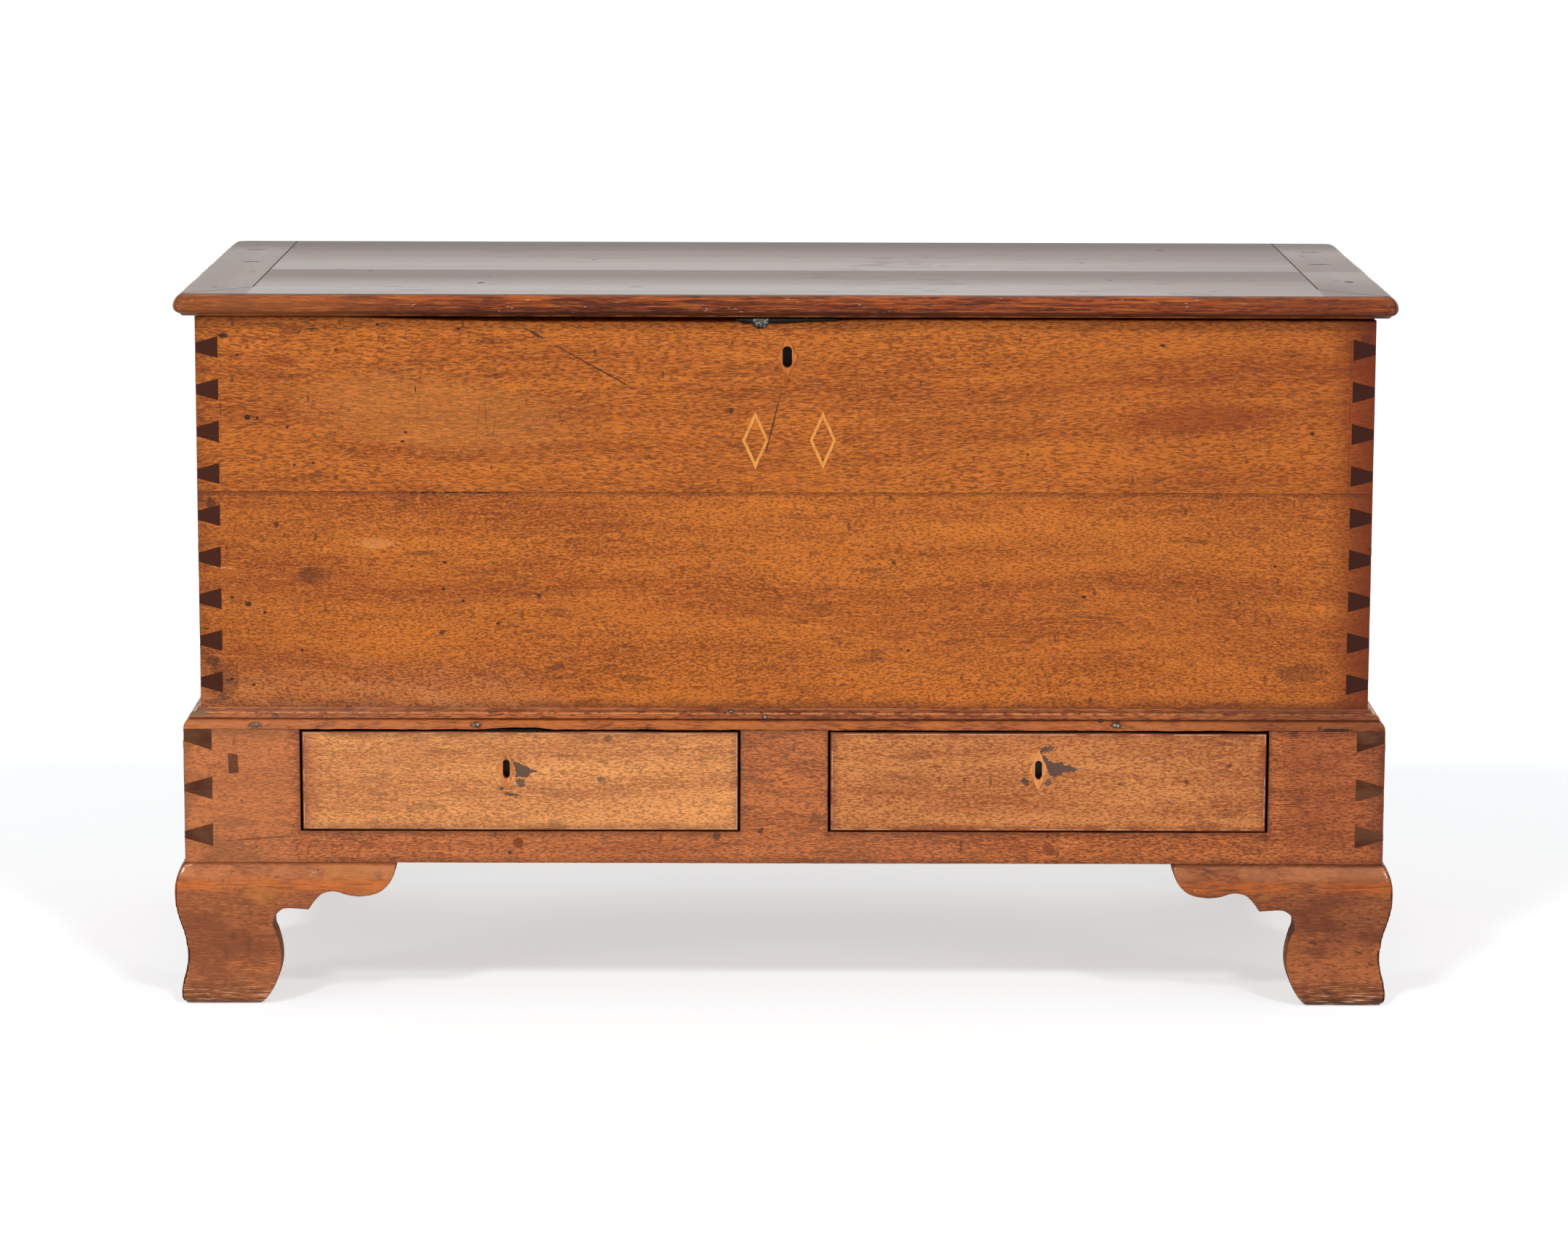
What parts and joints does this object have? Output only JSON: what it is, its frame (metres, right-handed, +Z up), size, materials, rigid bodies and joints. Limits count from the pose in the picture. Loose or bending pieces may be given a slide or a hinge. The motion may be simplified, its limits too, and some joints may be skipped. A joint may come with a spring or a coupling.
{
  "type": "mule chest",
  "caption": "Dovetailed mahogany blanket chest with a hinged lid over two drawers, on ogee bracket feet.",
  "frame": {"origin": "on the floor, under the centre of the overall box", "axes": "+Z up, the front faces -Y, +X to the right when seen from the front"},
  "size_m": [1.196, 0.5605, 0.7015],
  "materials": {
    "case_mahogany": "worn, waxed old polish",
    "lid_mahogany": "waxed old polish",
    "moulding_mahogany": "waxed old polish",
    "foot_mahogany": "waxed old polish",
    "pale_mahogany": "waxed",
    "boxwood": "waxed",
    "peg_wood": "waxed",
    "oak": "bare, aged",
    "pine": "bare, aged",
    "iron": "dull wrought iron",
    "lock_steel": "worn"
  },
  "bodies": {
    "carcase": {"front_upper_board": "case_mahogany", "front_lower_board": "case_mahogany", "left_case_side": "case_mahogany", "right_case_side": "case_mahogany", "back_upper_board": "pine", "back_lower_board": "pine", "chest_floor_boards": "pine", "front_waist_moulding": "moulding_mahogany", "left_waist_moulding": "moulding_mahogany", "right_waist_moulding": "moulding_mahogany", "base_front_board": "case_mahogany", "left_base_side": "case_mahogany", "right_base_side": "case_mahogany", "base_back_board": "pine", "base_bottom_boards": "pine", "centre_runner": "pine", "outer_runners": "pine", "centre_guide": "pine", "outer_guides": "pine", "left_front_foot_front_bracket": "foot_mahogany", "right_front_foot_front_bracket": "foot_mahogany", "left_front_foot_side_bracket": "foot_mahogany", "right_front_foot_side_bracket": "foot_mahogany", "left_rear_foot_side_bracket": "foot_mahogany", "right_rear_foot_side_bracket": "foot_mahogany", "left_rear_foot_back_bracket": "pine", "right_rear_foot_back_bracket": "pine", "foot_glue_blocks": "pine", "rail_pegs": "peg_wood", "front_inlay": "boxwood", "chest_escutcheon": "pale_mahogany", "chest_lock_case": "iron", "hinge_case_leaves": "iron", "hinge_pins": "iron"},
    "lid": {"lid_front_board": "lid_mahogany", "lid_back_board": "lid_mahogany", "lid_left_clamp": "lid_mahogany", "lid_right_clamp": "lid_mahogany", "lid_left_strap": "iron", "lid_right_strap": "iron", "lid_link_plate": "iron"},
    "left_drawer": {"left_drawer_front": "case_mahogany", "left_drawer_left_side": "oak", "left_drawer_right_side": "oak", "left_drawer_back": "oak", "left_drawer_bottom": "oak", "left_drawer_lock_case": "iron", "left_drawer_escutcheon": "boxwood"},
    "right_drawer": {"right_drawer_front": "case_mahogany", "right_drawer_left_side": "oak", "right_drawer_right_side": "oak", "right_drawer_back": "oak", "right_drawer_bottom": "oak", "right_drawer_lock_case": "iron", "right_drawer_escutcheon": "boxwood"},
    "chest_bolt": {"chest_lock_bolt": "lock_steel"},
    "left_bolt": {"left_drawer_lock_bolt": "lock_steel"},
    "right_bolt": {"right_drawer_lock_bolt": "lock_steel"}
  },
  "joints": [
    {"name": "lid_hinge", "type": "hinge", "parent": "carcase", "child": "lid", "pos_m": [0, 0.27575, 0.68], "axis": [-1, 0, 0], "range_deg": [0, 100]},
    {"name": "left_drawer_slide", "type": "slide", "parent": "carcase", "child": "left_drawer", "axis": [0, -1, 0], "range_m": [0, 0.4]},
    {"name": "right_drawer_slide", "type": "slide", "parent": "carcase", "child": "right_drawer", "axis": [0, -1, 0], "range_m": [0, 0.4]},
    {"name": "chest_bolt_slide", "type": "slide", "parent": "carcase", "child": "chest_bolt", "axis": [1, 0, 0], "range_m": [0, 0.008]},
    {"name": "left_bolt_slide", "type": "slide", "parent": "left_drawer", "child": "left_bolt", "axis": [0, 0, 1], "range_m": [0, 0.006]},
    {"name": "right_bolt_slide", "type": "slide", "parent": "right_drawer", "child": "right_bolt", "axis": [0, 0, 1], "range_m": [0, 0.006]}
  ]
}
